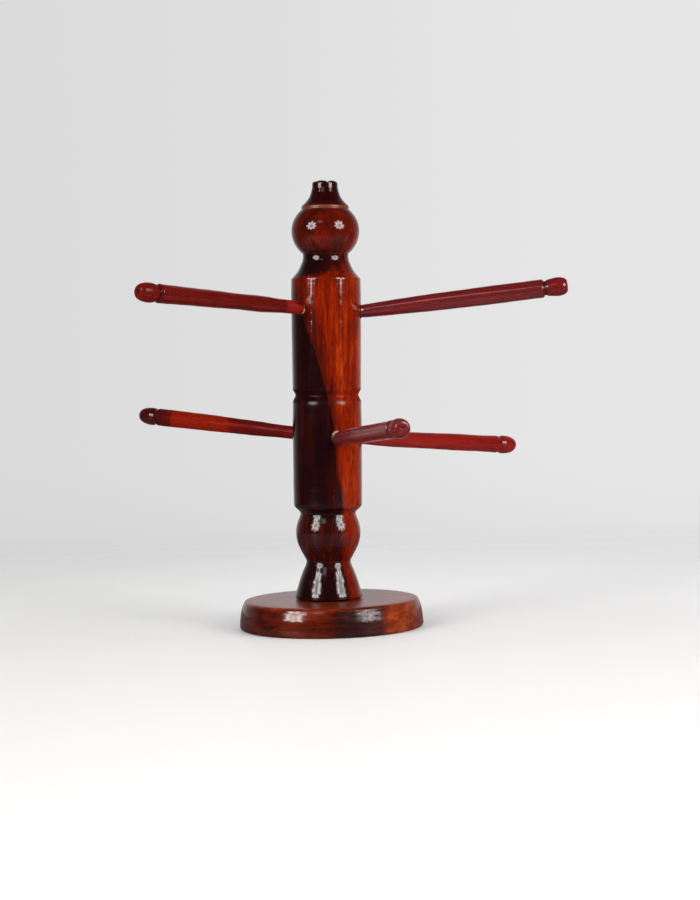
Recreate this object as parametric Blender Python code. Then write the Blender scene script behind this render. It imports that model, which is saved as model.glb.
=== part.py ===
"""Table-top peg stand turned in hardwood.

A turned post (finial, ball, cove, two barrels, lower ball and bell foot) stands by a round tenon in a
blind socket of a turned base. Two rings of three turned pegs are glued into blind holes in the barrels.

The socket was bored by hand, so the post stands a little off centre and a little out of square.

Metres, +Z up. The origin is the centre of the base's underside. The front of the stand faces -Y.
"""

import math

import bmesh
import bpy
from mathutils import Matrix, Vector

MM = 0.001
FIT_GAP = 0.3 * MM  # glue gap left round every joint

# Base
BASE_HEIGHT = 23.0 * MM
BASE_TOP_RADIUS = 70.5 * MM
BASE_FOOT_RADIUS = 73.9 * MM
BASE_TOP_EDGE = 3.4 * MM  # rounding of the upper rim
BASE_BOTTOM_EDGE = 2.8 * MM  # rounding of the lower rim

# Joint between post and base
TENON_RADIUS = 11.0 * MM
TENON_LENGTH = 15.0 * MM
SOCKET_RADIUS = TENON_RADIUS + FIT_GAP
SOCKET_DEPTH = TENON_LENGTH + 0.7 * MM
SOCKET_OFFSET = -1.7 * MM  # in X, from the base's centre
POST_LEAN = math.radians(0.9)  # towards +X

# Post
POST_FOOT_Z = BASE_HEIGHT + FIT_GAP
FOOT_TRIM = 8.0 * MM  # height over which the foot is trimmed to sit level on the base
POST_HEIGHT = 357.2 * MM
BARREL_RADIUS = 27.8 * MM
UPPER_BALL_RADIUS = 27.2 * MM
UPPER_BALL_Z = 317.0 * MM
LOWER_BALL_RADIUS = 25.9 * MM
LOWER_BALL_Z = 77.0 * MM
GROOVE_Z = 186.0 * MM
GROOVE_RADIUS = 25.1 * MM
FINIAL_RADIUS = 10.2 * MM
FINIAL_NOTCH_WIDTH = 2.4 * MM
FINIAL_NOTCH_DEPTH = 1.3 * MM
FINIAL_NOTCH_X = 2.2 * MM

# Pegs
PEG_HOLE_RADIUS = 5.2 * MM
PEG_TENON_RADIUS = PEG_HOLE_RADIUS - FIT_GAP
PEG_HOLE_END = 8.5 * MM  # distance of the blind end from the post's axis
PEG_TENON_START = PEG_HOLE_END + 0.5 * MM
PEG_SHOULDER = 29.2 * MM  # where the tenon ends and the shaft starts to swell
PEG_CENTRE_HOLE_RADIUS = 1.4 * MM
PEG_CENTRE_HOLE_DEPTH = 1.3 * MM

POST_SIDES = 40
BASE_SIDES = 56
PEG_SIDES = 20

# name: direction from the front (degrees, + towards +X), rise (degrees), height of its axis at the
# post's axis, length from the post's axis, radii along the shaft, neck, knob radius, knob's distance
# from the tip, radius of the flat end
PEGS = {
    "peg_upper_left": dict(
        turn=-46.4, rise=3.7, height=253.7, length=188.2,
        shaft=(5.2, 5.6, 6.4, 6.25, 6.65, 6.9, 7.2), neck=5.7, knob=7.5, crown=10.5, end=3.6,
    ),
    "peg_upper_right": dict(
        turn=81.0, rise=6.3, height=249.5, length=193.2,
        shaft=(5.3, 5.85, 6.5, 6.9, 7.25, 7.35, 7.3), neck=5.5, knob=7.5, crown=8.0, end=4.0,
    ),
    "peg_upper_rear": dict(
        turn=-174.0, rise=4.0, height=252.0, length=190.0,
        shaft=(5.2, 5.6, 6.2, 6.5, 6.8, 7.0, 7.1), neck=5.7, knob=7.4, crown=10.0, end=3.6,
    ),
    "peg_lower_left": dict(
        turn=-121.6, rise=4.9, height=152.9, length=188.4,
        shaft=(5.2, 5.35, 6.05, 6.5, 6.95, 7.05, 7.1), neck=6.3, knob=7.35, crown=12.0, end=2.4,
    ),
    "peg_lower_front": dict(
        turn=19.6, rise=5.0, height=150.0, length=172.5,
        shaft=(5.2, 5.6, 6.2, 6.5, 6.65, 6.8, 6.95), neck=5.7, knob=7.4, crown=9.0, end=4.4,
    ),
    "peg_lower_right": dict(
        turn=123.4, rise=-4.0, height=153.5, length=188.5,
        shaft=(5.2, 5.8, 6.5, 6.5, 7.1, 6.95, 7.3), neck=6.6, knob=7.65, crown=12.0, end=2.4,
    ),
}

for obj in list(bpy.data.objects):
    bpy.data.objects.remove(obj, do_unlink=True)


def smooth_run(stations, steps):
    """Points on a Catmull-Rom curve through (radius, height) stations, steps per span."""
    out = []
    count = len(stations)
    for i in range(count - 1):
        p1, p2 = stations[i], stations[i + 1]
        p0 = stations[i - 1] if i else (2 * p1[0] - p2[0], 2 * p1[1] - p2[1])
        p3 = stations[i + 2] if i + 2 < count else (2 * p2[0] - p1[0], 2 * p2[1] - p1[1])
        for k in range(steps):
            t = k / steps
            out.append(
                tuple(
                    0.5
                    * (
                        2 * p1[j]
                        + (p2[j] - p0[j]) * t
                        + (2 * p0[j] - 5 * p1[j] + 4 * p2[j] - p3[j]) * t * t
                        + (3 * p1[j] - p0[j] - 3 * p2[j] + p3[j]) * t ** 3
                    )
                    for j in (0, 1)
                )
            )
    out.append(stations[-1])
    return out


def oval_arc(radius, half_height, centre_z, z_from, z_to, steps):
    """Points down the outside of an oval of revolution, from one height to another."""
    a = math.asin((z_from - centre_z) / half_height)
    b = math.asin((z_to - centre_z) / half_height)
    points = []
    for k in range(steps + 1):
        t = a + (b - a) * k / steps
        points.append((radius * math.cos(t), centre_z + half_height * math.sin(t)))
    return points


def corner(centre_r, centre_z, radius, start, end, steps):
    """Points on a round edge, angles in degrees from +R towards +Z."""
    points = []
    for k in range(steps + 1):
        t = math.radians(start + (end - start) * k / steps)
        points.append((centre_r + radius * math.cos(t), centre_z + radius * math.sin(t)))
    return points


def turned(name, profile, sides):
    """A closed solid of revolution about local Z. The profile runs from axis to axis."""
    mesh = bpy.data.meshes.new(name)
    bm = bmesh.new()
    verts = [bm.verts.new((r, 0.0, z)) for r, z in profile]
    edges = [bm.edges.new(pair) for pair in zip(verts, verts[1:])]
    bmesh.ops.spin(
        bm,
        geom=verts + edges,
        cent=(0, 0, 0),
        axis=(0, 0, 1),
        angle=2 * math.pi,
        steps=sides,
        use_merge=True,
    )
    bmesh.ops.remove_doubles(bm, verts=bm.verts, dist=1e-6)
    bmesh.ops.dissolve_degenerate(bm, dist=1e-7, edges=bm.edges)
    bmesh.ops.recalc_face_normals(bm, faces=bm.faces)
    bm.to_mesh(mesh)
    bm.free()
    mesh.shade_smooth()
    mesh.set_sharp_from_angle(angle=math.radians(34))
    obj = bpy.data.objects.new(name, mesh)
    bpy.context.collection.objects.link(obj)
    return obj


def wood(name, colour, roughness):
    material = bpy.data.materials.new(name)
    material.use_nodes = True
    shader = material.node_tree.nodes["Principled BSDF"]
    shader.inputs["Base Color"].default_value = (*colour, 1.0)
    shader.inputs["Roughness"].default_value = roughness
    shader.inputs["Metallic"].default_value = 0.0
    material.diffuse_color = (*colour, 1.0)
    return material


def cut(target, cutter):
    """Takes the cutter's volume out of the target and keeps the cutter as a hidden guide."""
    cutter.hide_render = True
    cutter.display_type = "WIRE"
    modifier = target.modifiers.new("cut_" + cutter.name, "BOOLEAN")
    modifier.operation = "DIFFERENCE"
    modifier.solver = "EXACT"
    modifier.object = cutter


# Takes anything drawn about an upright post on the base's centre to where the post really stands.
STANDING = (
    Matrix.Translation((SOCKET_OFFSET, 0.0, POST_FOOT_Z))
    @ Matrix.Rotation(POST_LEAN, 4, "Y")
    @ Matrix.Translation((0.0, 0.0, -POST_FOOT_Z))
)

origin = bpy.data.objects.new("stand_origin", None)
origin.empty_display_size = 0.05
bpy.context.collection.objects.link(origin)

# ---- Base: a disc whose side leans out slightly towards the table ----
side_top_z = BASE_HEIGHT - BASE_TOP_EDGE
side_foot_z = BASE_BOTTOM_EDGE
base_profile = [(0.0, BASE_HEIGHT)]
base_profile += corner(
    BASE_TOP_RADIUS - BASE_TOP_EDGE + 0.1 * MM, side_top_z, BASE_TOP_EDGE, 90, 14, 4
)
base_profile += smooth_run(
    [
        (BASE_TOP_RADIUS + 1.1 * MM, 16.5 * MM),
        (BASE_TOP_RADIUS + 1.9 * MM, 11.0 * MM),
        (BASE_TOP_RADIUS + 2.7 * MM, 6.0 * MM),
        (BASE_FOOT_RADIUS - 0.1 * MM, side_foot_z + 0.8 * MM),
    ],
    1,
)
base_profile += corner(
    BASE_FOOT_RADIUS - BASE_BOTTOM_EDGE, side_foot_z, BASE_BOTTOM_EDGE, 0, -90, 4
)
base_profile += [(0.0, 0.0)]
base = turned("base", base_profile, BASE_SIDES)
base.data.materials.append(wood("base_wood", (0.30, 0.055, 0.012), 0.18))

socket = turned(
    "base_socket",
    [
        (0.0, BASE_HEIGHT + 5 * MM),
        (SOCKET_RADIUS, BASE_HEIGHT + 5 * MM),
        (SOCKET_RADIUS, BASE_HEIGHT - SOCKET_DEPTH),
        (0.0, BASE_HEIGHT - SOCKET_DEPTH),
    ],
    32,
)
socket.matrix_world = STANDING
cut(base, socket)

# ---- Post: one turned piece, listed from the finial down ----
finial = [(0.0, POST_HEIGHT)] + smooth_run(
    [
        (6.0 * MM, POST_HEIGHT - 0.4 * MM),
        (FINIAL_RADIUS - 0.3 * MM, POST_HEIGHT - 1.6 * MM),
        (FINIAL_RADIUS, POST_HEIGHT - 3.4 * MM),
    ],
    1,
)
finial += smooth_run(
    [
        (FINIAL_RADIUS + 0.1 * MM, POST_HEIGHT - 6.2 * MM),
        (11.9 * MM, 345.4 * MM),
        (14.2 * MM, 341.5 * MM),
        (18.0 * MM, 337.3 * MM),
    ],
    2,
)
ring = [(18.85 * MM, 336.2 * MM), (18.75 * MM, 334.0 * MM)]
upper_ball = oval_arc(
    UPPER_BALL_RADIUS, 23.6 * MM, UPPER_BALL_Z, 333.4 * MM, UPPER_BALL_Z, 4
) + oval_arc(UPPER_BALL_RADIUS, 24.9 * MM, UPPER_BALL_Z, 314.0 * MM, 298.6 * MM, 4)
cove = smooth_run(
    [
        (18.2 * MM, 296.6 * MM),
        (19.0 * MM, 292.3 * MM),
        (21.9 * MM, 285.9 * MM),
        (26.6 * MM, 280.0 * MM),
    ],
    2,
)
upper_barrel = [
    (BARREL_RADIUS, 278.3 * MM),
    (BARREL_RADIUS + 0.2 * MM, 265.0 * MM),
    (BARREL_RADIUS, 235.0 * MM),
    (BARREL_RADIUS - 0.4 * MM, 191.2 * MM),
]
groove = [
    (GROOVE_RADIUS + 0.8 * MM, GROOVE_Z + 2.4 * MM),
    (GROOVE_RADIUS, GROOVE_Z + 0.3 * MM),
    (GROOVE_RADIUS + 1.0 * MM, GROOVE_Z - 2.2 * MM),
    (BARREL_RADIUS - 0.4 * MM, GROOVE_Z - 5.6 * MM),
]
lower_barrel = [
    (BARREL_RADIUS - 0.1 * MM, 165.0 * MM),
    (BARREL_RADIUS - 0.2 * MM, 120.0 * MM),
    (BARREL_RADIUS - 0.3 * MM, 100.0 * MM),
    (BARREL_RADIUS - 1.0 * MM, 97.3 * MM),
    (22.2 * MM, 92.2 * MM),
    (22.4 * MM, 90.4 * MM),
]
lower_ball = oval_arc(
    LOWER_BALL_RADIUS, 27.4 * MM, LOWER_BALL_Z, 88.0 * MM, LOWER_BALL_Z, 2
) + oval_arc(LOWER_BALL_RADIUS, 32.0 * MM, LOWER_BALL_Z, 72.5 * MM, 54.0 * MM, 4)
bell = smooth_run(
    [
        (17.8 * MM, 52.9 * MM),
        (20.4 * MM, 45.7 * MM),
        (22.9 * MM, 39.2 * MM),
        (25.4 * MM, 31.2 * MM),
        (26.7 * MM, 25.2 * MM),
    ],
    2,
)
foot = [
    (26.2 * MM, 23.9 * MM),
    (24.8 * MM, POST_FOOT_Z),
    (TENON_RADIUS, POST_FOOT_Z),
    (TENON_RADIUS, POST_FOOT_Z - TENON_LENGTH + 1.0 * MM),
    (TENON_RADIUS - 1.0 * MM, POST_FOOT_Z - TENON_LENGTH),
    (0.0, POST_FOOT_Z - TENON_LENGTH),
]
post = turned(
    "post",
    finial + ring + upper_ball + cove + upper_barrel + groove + lower_barrel + lower_ball + bell + foot,
    POST_SIDES,
)
post.data.materials.append(wood("post_wood", (0.17, 0.022, 0.008), 0.16))
for vert in post.data.vertices:
    if POST_FOOT_Z - 0.01 * MM < vert.co.z < POST_FOOT_Z + FOOT_TRIM:
        trim = 1.0 - (vert.co.z - POST_FOOT_Z) / FOOT_TRIM
        vert.co.z += trim * vert.co.x * math.tan(POST_LEAN)
post.matrix_world = STANDING

# The slot that the lathe's drive spur left across the finial's end
notch_mesh = bpy.data.meshes.new("finial_notch")
bm = bmesh.new()
bmesh.ops.create_cube(bm, size=1.0)
bmesh.ops.scale(
    bm, vec=Vector((FINIAL_NOTCH_WIDTH, 4 * FINIAL_RADIUS, 2 * FINIAL_NOTCH_DEPTH)), verts=bm.verts
)
for vert in bm.verts:
    if vert.co.z < 0:
        vert.co.x *= 0.45
bm.to_mesh(notch_mesh)
bm.free()
notch = bpy.data.objects.new("finial_notch", notch_mesh)
bpy.context.collection.objects.link(notch)
notch.matrix_world = STANDING @ Matrix.Translation((FINIAL_NOTCH_X, 0.0, POST_HEIGHT))
cut(post, notch)


def peg_profile(peg):
    """Tenon, swelling shaft, shoulder, neck, knob and flat end with its turning centre, from the
    post's axis outward along local +Z."""
    tip = peg["length"] * MM
    stretch = tip - 20.0 * MM - PEG_SHOULDER
    profile = [
        (0.0, PEG_TENON_START),
        (PEG_TENON_RADIUS - 0.6 * MM, PEG_TENON_START),
        (PEG_TENON_RADIUS, PEG_TENON_START + 0.6 * MM),
        (PEG_TENON_RADIUS, PEG_SHOULDER),
    ]
    fractions = (0.015, 0.13, 0.28, 0.46, 0.68, 0.86, 1.0)
    for radius, fraction in zip(peg["shaft"], fractions):
        profile.append((radius * MM, PEG_SHOULDER + stretch * fraction))
    neck, knob, crown = peg["neck"] * MM, peg["knob"] * MM, peg["crown"] * MM
    profile += [
        (neck + 0.25 * MM, tip - 18.4 * MM),
        (neck, tip - 17.4 * MM),
        (neck + 0.45 * (knob - neck), tip - 15.6 * MM),
    ]
    if crown < 11.0 * MM:
        profile.append((neck + 0.85 * (knob - neck), tip - crown - 2.6 * MM))
    else:
        profile.append((knob - 0.12 * MM, tip - 14.2 * MM))
    end = peg["end"] * MM
    for k in range(4):
        t = 0.5 * math.pi * k / 4
        profile.append(
            (end + (knob - end) * math.cos(t), tip - crown + (crown - 0.2 * MM) * math.sin(t))
        )
    profile += [
        (end, tip - 0.1 * MM),
        (PEG_CENTRE_HOLE_RADIUS, tip),
        (0.0, tip - PEG_CENTRE_HOLE_DEPTH),
    ]
    return profile


def aim(peg):
    """Placement about the upright post, with local +Z running out along the peg from its axis."""
    turn, rise = math.radians(peg["turn"]), math.radians(peg["rise"])
    along = Vector(
        (math.sin(turn) * math.cos(rise), -math.cos(turn) * math.cos(rise), math.sin(rise))
    )
    across = Vector((math.cos(turn), math.sin(turn), 0.0))
    third = along.cross(across)
    rotation = Matrix((across, third, along)).transposed()
    return rotation.to_4x4(), Vector((0.0, 0.0, peg["height"] * MM))


peg_colours = {
    "peg_upper_left": (0.34, 0.022, 0.012),
    "peg_upper_right": (0.22, 0.012, 0.010),
    "peg_upper_rear": (0.28, 0.018, 0.011),
    "peg_lower_left": (0.30, 0.020, 0.012),
    "peg_lower_front": (0.20, 0.014, 0.012),
    "peg_lower_right": (0.30, 0.018, 0.012),
}

for name, peg in PEGS.items():
    rotation, place = aim(peg)
    piece = turned(name, peg_profile(peg), PEG_SIDES)
    piece.data.materials.append(wood(name + "_wood", peg_colours[name], 0.2))
    piece.matrix_world = STANDING @ Matrix.Translation(place) @ rotation
    drill = turned(
        "hole_" + name,
        [
            (0.0, PEG_HOLE_END),
            (PEG_HOLE_RADIUS, PEG_HOLE_END),
            (PEG_HOLE_RADIUS, 40 * MM),
            (0.0, 40 * MM),
        ],
        PEG_SIDES,
    )
    drill.matrix_world = STANDING @ Matrix.Translation(place) @ rotation
    cut(post, drill)

for obj in list(bpy.data.objects):
    if obj is not origin and obj.parent is None:
        placed = obj.matrix_world.copy()
        obj.parent = origin
        obj.matrix_world = placed
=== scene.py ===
"""Looks of the turned peg stand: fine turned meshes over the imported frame, lacquered-wood materials, a pale
table, two studio umbrellas and the camera. Metres, +Z up, the front of the stand faces -Y."""

import math

import bmesh
import bpy
import numpy as np
from mathutils import Matrix, Vector


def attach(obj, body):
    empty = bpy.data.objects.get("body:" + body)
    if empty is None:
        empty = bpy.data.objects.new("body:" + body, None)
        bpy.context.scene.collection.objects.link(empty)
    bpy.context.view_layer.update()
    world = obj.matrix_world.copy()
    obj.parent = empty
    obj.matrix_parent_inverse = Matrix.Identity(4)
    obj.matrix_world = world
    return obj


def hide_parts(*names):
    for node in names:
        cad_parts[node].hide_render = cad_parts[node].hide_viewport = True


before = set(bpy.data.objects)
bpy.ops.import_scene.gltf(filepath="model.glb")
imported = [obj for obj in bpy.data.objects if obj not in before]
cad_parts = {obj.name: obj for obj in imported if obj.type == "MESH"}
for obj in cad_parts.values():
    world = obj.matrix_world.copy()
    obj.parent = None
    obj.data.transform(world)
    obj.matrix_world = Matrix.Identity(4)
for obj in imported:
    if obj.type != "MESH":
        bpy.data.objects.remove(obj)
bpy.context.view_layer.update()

MM = 0.001

# ------------------------------------------------------------------ dimensions, as in the CAD
BASE_HEIGHT = 23.0
POST_FOOT_Z = 23.3
POST_HEIGHT = 357.2
BARREL_RADIUS = 27.8
TENON_RADIUS = 11.0
TENON_LENGTH = 15.0
SOCKET_RADIUS = 11.3
SOCKET_DEPTH = 15.7
SOCKET_OFFSET = -1.7
POST_LEAN = 0.9
FOOT_TRIM = 8.0
PEG_HOLE_RADIUS = 5.2
PEG_TENON_RADIUS = 4.9
PEG_HOLE_END = 8.5
PEG_TENON_START = 9.0
PEG_SHOULDER = 29.2

PEGS = {
    "peg_upper_left": dict(
        turn=-46.4, rise=3.7, height=253.7, length=188.2,
        shaft=(5.2, 5.6, 6.4, 6.25, 6.65, 6.9, 7.2), neck=5.7, knob=7.5, crown=10.5, end=3.6,
    ),
    "peg_upper_right": dict(
        turn=81.0, rise=6.3, height=249.5, length=193.2,
        shaft=(5.3, 5.85, 6.5, 6.9, 7.25, 7.35, 7.3), neck=5.5, knob=7.5, crown=8.0, end=4.0,
    ),
    "peg_upper_rear": dict(
        turn=-174.0, rise=4.0, height=252.0, length=190.0,
        shaft=(5.2, 5.6, 6.2, 6.5, 6.8, 7.0, 7.1), neck=5.7, knob=7.4, crown=10.0, end=3.6,
    ),
    "peg_lower_left": dict(
        turn=-121.6, rise=4.9, height=152.9, length=188.4,
        shaft=(5.2, 5.35, 6.05, 6.5, 6.95, 7.05, 7.1), neck=6.3, knob=7.35, crown=12.0, end=2.4,
    ),
    "peg_lower_front": dict(
        turn=19.6, rise=5.0, height=150.0, length=172.5,
        shaft=(5.2, 5.6, 6.2, 6.5, 6.65, 6.8, 6.95), neck=5.7, knob=7.4, crown=9.0, end=4.4,
    ),
    "peg_lower_right": dict(
        turn=123.4, rise=-4.0, height=153.5, length=188.5,
        shaft=(5.2, 5.8, 6.5, 6.5, 7.1, 6.95, 7.3), neck=6.6, knob=7.65, crown=12.0, end=2.4,
    ),
}


# Takes anything drawn about an upright post on the base's centre to where the post really stands.
STANDING = (
    Matrix.Translation((SOCKET_OFFSET * MM, 0.0, POST_FOOT_Z * MM))
    @ Matrix.Rotation(math.radians(POST_LEAN), 4, "Y")
    @ Matrix.Translation((0.0, 0.0, -POST_FOOT_Z * MM))
)


# ------------------------------------------------------------------ profiles, in millimetres
def smooth_run(stations, steps):
    """Points on a Catmull-Rom curve through (radius, height) stations, steps per span."""
    out = []
    count = len(stations)
    for i in range(count - 1):
        p1, p2 = stations[i], stations[i + 1]
        p0 = stations[i - 1] if i else (2 * p1[0] - p2[0], 2 * p1[1] - p2[1])
        p3 = stations[i + 2] if i + 2 < count else (2 * p2[0] - p1[0], 2 * p2[1] - p1[1])
        for k in range(steps):
            t = k / steps
            out.append(
                tuple(
                    0.5
                    * (
                        2 * p1[j]
                        + (p2[j] - p0[j]) * t
                        + (2 * p0[j] - 5 * p1[j] + 4 * p2[j] - p3[j]) * t * t
                        + (3 * p1[j] - p0[j] - 3 * p2[j] + p3[j]) * t ** 3
                    )
                    for j in (0, 1)
                )
            )
    out.append(stations[-1])
    return out


def oval_arc(radius, half_height, centre_z, z_from, z_to, steps):
    a = math.asin((z_from - centre_z) / half_height)
    b = math.asin((z_to - centre_z) / half_height)
    return [
        (
            radius * math.cos(a + (b - a) * k / steps),
            centre_z + half_height * math.sin(a + (b - a) * k / steps),
        )
        for k in range(steps + 1)
    ]


def corner(centre_r, centre_z, radius, start, end, steps):
    return [
        (
            centre_r + radius * math.cos(math.radians(start + (end - start) * k / steps)),
            centre_z + radius * math.sin(math.radians(start + (end - start) * k / steps)),
        )
        for k in range(steps + 1)
    ]


def resample(points, spacing):
    """The profile walked at an even spacing. spacing may be a function of the point."""
    pts = np.array(points, float)
    seg = np.linalg.norm(np.diff(pts, axis=0), axis=1)
    along = np.concatenate([[0.0], np.cumsum(seg)])
    keep = np.concatenate([[True], seg > 1e-6])
    pts, along = pts[keep], along[keep]
    marks, s = [0.0], 0.0
    while s < along[-1]:
        p = np.array([np.interp(s, along, pts[:, 0]), np.interp(s, along, pts[:, 1])])
        s += spacing(p)
        marks.append(min(s, along[-1]))
    marks = np.array(marks)
    return np.stack([np.interp(marks, along, pts[:, 0]), np.interp(marks, along, pts[:, 1])], 1)


def eased(points, reach):
    """Corners eased by sanding and lacquer: a Gaussian of the given reach along the profile."""
    fine = resample(points, lambda p: 0.12)
    steps = max(1, int(3 * reach / 0.12))
    kernel = np.exp(-0.5 * (np.arange(-steps, steps + 1) * 0.12 / reach) ** 2)
    kernel /= kernel.sum()
    out = fine.copy()
    padded = np.concatenate(
        [2 * fine[0] - fine[steps:0:-1], fine, 2 * fine[-1] - fine[-2 : -steps - 2 : -1]]
    )
    for j in (0, 1):
        out[:, j] = np.convolve(padded[:, j], kernel, mode="valid")
    out[0], out[-1] = fine[0], fine[-1]
    out[:, 0] = np.maximum(out[:, 0], 0.0)
    return out


def lathe(name, profile, sides, wobble=None):
    """A closed turned mesh from a profile that starts and ends on the axis, in millimetres. wobble moves a
    point in or out a little, as a function of its angle, height and radius."""
    profile = np.array(profile, float)
    inner = profile[1:-1]
    angles = np.linspace(0, 2 * math.pi, sides, endpoint=False)
    a, r = np.meshgrid(angles, inner[:, 0])
    z = np.repeat(inner[:, 1:2], sides, axis=1)
    if wobble is not None:
        r = r + wobble(a, z, r)
    points = np.stack([r * np.cos(a), r * np.sin(a), z], -1).reshape(-1, 3)
    points = np.concatenate([points, [[0, 0, profile[0, 1]]], [[0, 0, profile[-1, 1]]]]) * MM
    rows = len(inner)
    i, j = np.meshgrid(np.arange(rows - 1), np.arange(sides), indexing="ij")
    j2 = (j + 1) % sides
    quads = np.stack(
        [i * sides + j, (i + 1) * sides + j, (i + 1) * sides + j2, i * sides + j2], -1
    ).reshape(-1, 4)
    first, last = rows * sides, rows * sides + 1
    k = np.arange(sides)
    k2 = (k + 1) % sides
    caps = [(first, int(p), int(q)) for p, q in zip(k, k2)]
    caps += [(last, int((rows - 1) * sides + q), int((rows - 1) * sides + p)) for p, q in zip(k, k2)]
    faces = [tuple(map(int, f)) for f in quads] + caps
    mesh = bpy.data.meshes.new(name)
    mesh.from_pydata(points.tolist(), [], faces)
    mesh.update()
    # The profile may run up or down: the volume's sign says which way the faces look.
    bm = bmesh.new()
    bm.from_mesh(mesh)
    if bm.calc_volume(signed=True) < 0:
        bmesh.ops.reverse_faces(bm, faces=bm.faces)
    bm.to_mesh(mesh)
    bm.free()
    mesh.shade_smooth()
    mesh.set_sharp_from_angle(angle=math.radians(50))
    obj = bpy.data.objects.new(name, mesh)
    bpy.context.scene.collection.objects.link(obj)
    return obj


# ------------------------------------------------------------------ node helpers
class Graph:
    """A short way to write a material's node tree."""

    def __init__(self, name):
        self.material = bpy.data.materials.new(name)
        self.material.use_nodes = True
        self.tree = self.material.node_tree
        self.tree.nodes.clear()
        self.out = self.tree.nodes.new("ShaderNodeOutputMaterial")
        self.shader = self.tree.nodes.new("ShaderNodeBsdfPrincipled")
        self.tree.links.new(self.shader.outputs[0], self.out.inputs[0])

    def put(self, socket, value):
        if value is None:
            return
        if isinstance(value, bpy.types.NodeSocket):
            self.tree.links.new(value, socket)
        elif isinstance(value, (tuple, list)) and len(value) == 3 and socket.type == "RGBA":
            socket.default_value = (*value, 1.0)
        else:
            socket.default_value = value

    def node(self, kind, inputs=None, **props):
        made = self.tree.nodes.new(kind)
        for key, value in props.items():
            setattr(made, key, value)
        for key, value in (inputs or {}).items():
            self.put(made.inputs[key], value)
        return made

    def math(self, operation, a, b=None, c=None, clamp=False):
        made = self.node("ShaderNodeMath", operation=operation, use_clamp=clamp)
        for i, value in enumerate((a, b, c)):
            self.put(made.inputs[i], value)
        return made.outputs[0]

    def vec(self, operation, a, b=None, scale=None):
        made = self.node("ShaderNodeVectorMath", operation=operation)
        self.put(made.inputs[0], a)
        self.put(made.inputs[1], b)
        if scale is not None:
            self.put(made.inputs["Scale"], scale)
        return made.outputs[0]

    def place(self, vector, scale=(1, 1, 1), shift=(0, 0, 0)):
        made = self.node("ShaderNodeMapping", {"Vector": vector})
        made.inputs["Scale"].default_value = scale
        made.inputs["Location"].default_value = shift
        return made.outputs[0]

    def noise(self, vector, scale=(1, 1, 1), detail=2.0, rough=0.5, shift=(0, 0, 0), distortion=0.0):
        made = self.node(
            "ShaderNodeTexNoise",
            {
                "Vector": self.place(vector, scale, shift),
                "Scale": 1.0,
                "Detail": detail,
                "Roughness": rough,
                "Distortion": distortion,
            },
        )
        return made.outputs["Fac"]

    def fit(self, value, low, high, out_low=0.0, out_high=1.0, smooth=True):
        made = self.node(
            "ShaderNodeMapRange", interpolation_type="SMOOTHSTEP" if smooth else "LINEAR"
        )
        for i, v in enumerate((value, low, high, out_low, out_high)):
            self.put(made.inputs[i], v)
        return made.outputs[0]

    def mix(self, fac, a, b, blend="MIX"):
        made = self.node("ShaderNodeMix", data_type="RGBA", blend_type=blend, clamp_factor=True)
        self.put(made.inputs[0], fac)
        self.put(made.inputs[6], a)
        self.put(made.inputs[7], b)
        return made.outputs[2]

    def ramp(self, fac, stops):
        made = self.node("ShaderNodeValToRGB")
        self.put(made.inputs[0], fac)
        ramp = made.color_ramp
        ramp.elements[0].position, ramp.elements[0].color = stops[0][0], (*stops[0][1], 1)
        ramp.elements[1].position, ramp.elements[1].color = stops[-1][0], (*stops[-1][1], 1)
        for place, colour in stops[1:-1]:
            ramp.elements.new(place).color = (*colour, 1)
        return made.outputs[0]

    def curve(self, value, low, high, points, out_low, out_high):
        """A smooth curve through (x, y) points, over x from low to high."""
        made = self.node("ShaderNodeFloatCurve")
        unit = self.fit(value, low, high, 0.0, 1.0, smooth=False)
        self.put(made.inputs["Value"], unit)
        line = made.mapping.curves[0]
        scaled = [((x - low) / (high - low), (y - out_low) / (out_high - out_low)) for x, y in points]
        while len(line.points) < len(scaled):
            line.points.new(0.5, 0.5)
        for point, (x, y) in zip(line.points, scaled):
            point.location = (x, y)
        made.mapping.update()
        return self.fit(made.outputs[0], 0.0, 1.0, out_low, out_high, smooth=False)

    def split(self, vector):
        made = self.node("ShaderNodeSeparateXYZ", {"Vector": vector})
        return made.outputs

    def bump(self, height, distance, normal=None, strength=1.0):
        made = self.node("ShaderNodeBump", {"Height": height, "Strength": strength, "Distance": distance})
        self.put(made.inputs["Normal"], normal)
        return made.outputs[0]


def lacquer(g, colour, roughness, grain_bump, gloss_bump, dull=0.045):
    """Clear gloss lacquer over the wood. dull is the lacquer's own roughness."""
    g.put(g.shader.inputs["Base Color"], colour)
    g.put(g.shader.inputs["Roughness"], roughness)
    g.shader.inputs["IOR"].default_value = 1.48
    g.shader.inputs["Specular IOR Level"].default_value = 0.0
    g.shader.inputs["Coat Weight"].default_value = 1.0
    g.put(g.shader.inputs["Coat Roughness"], dull)
    g.shader.inputs["Coat IOR"].default_value = 1.5
    g.put(g.shader.inputs["Normal"], grain_bump)
    g.put(g.shader.inputs["Coat Normal"], gloss_bump)


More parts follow.
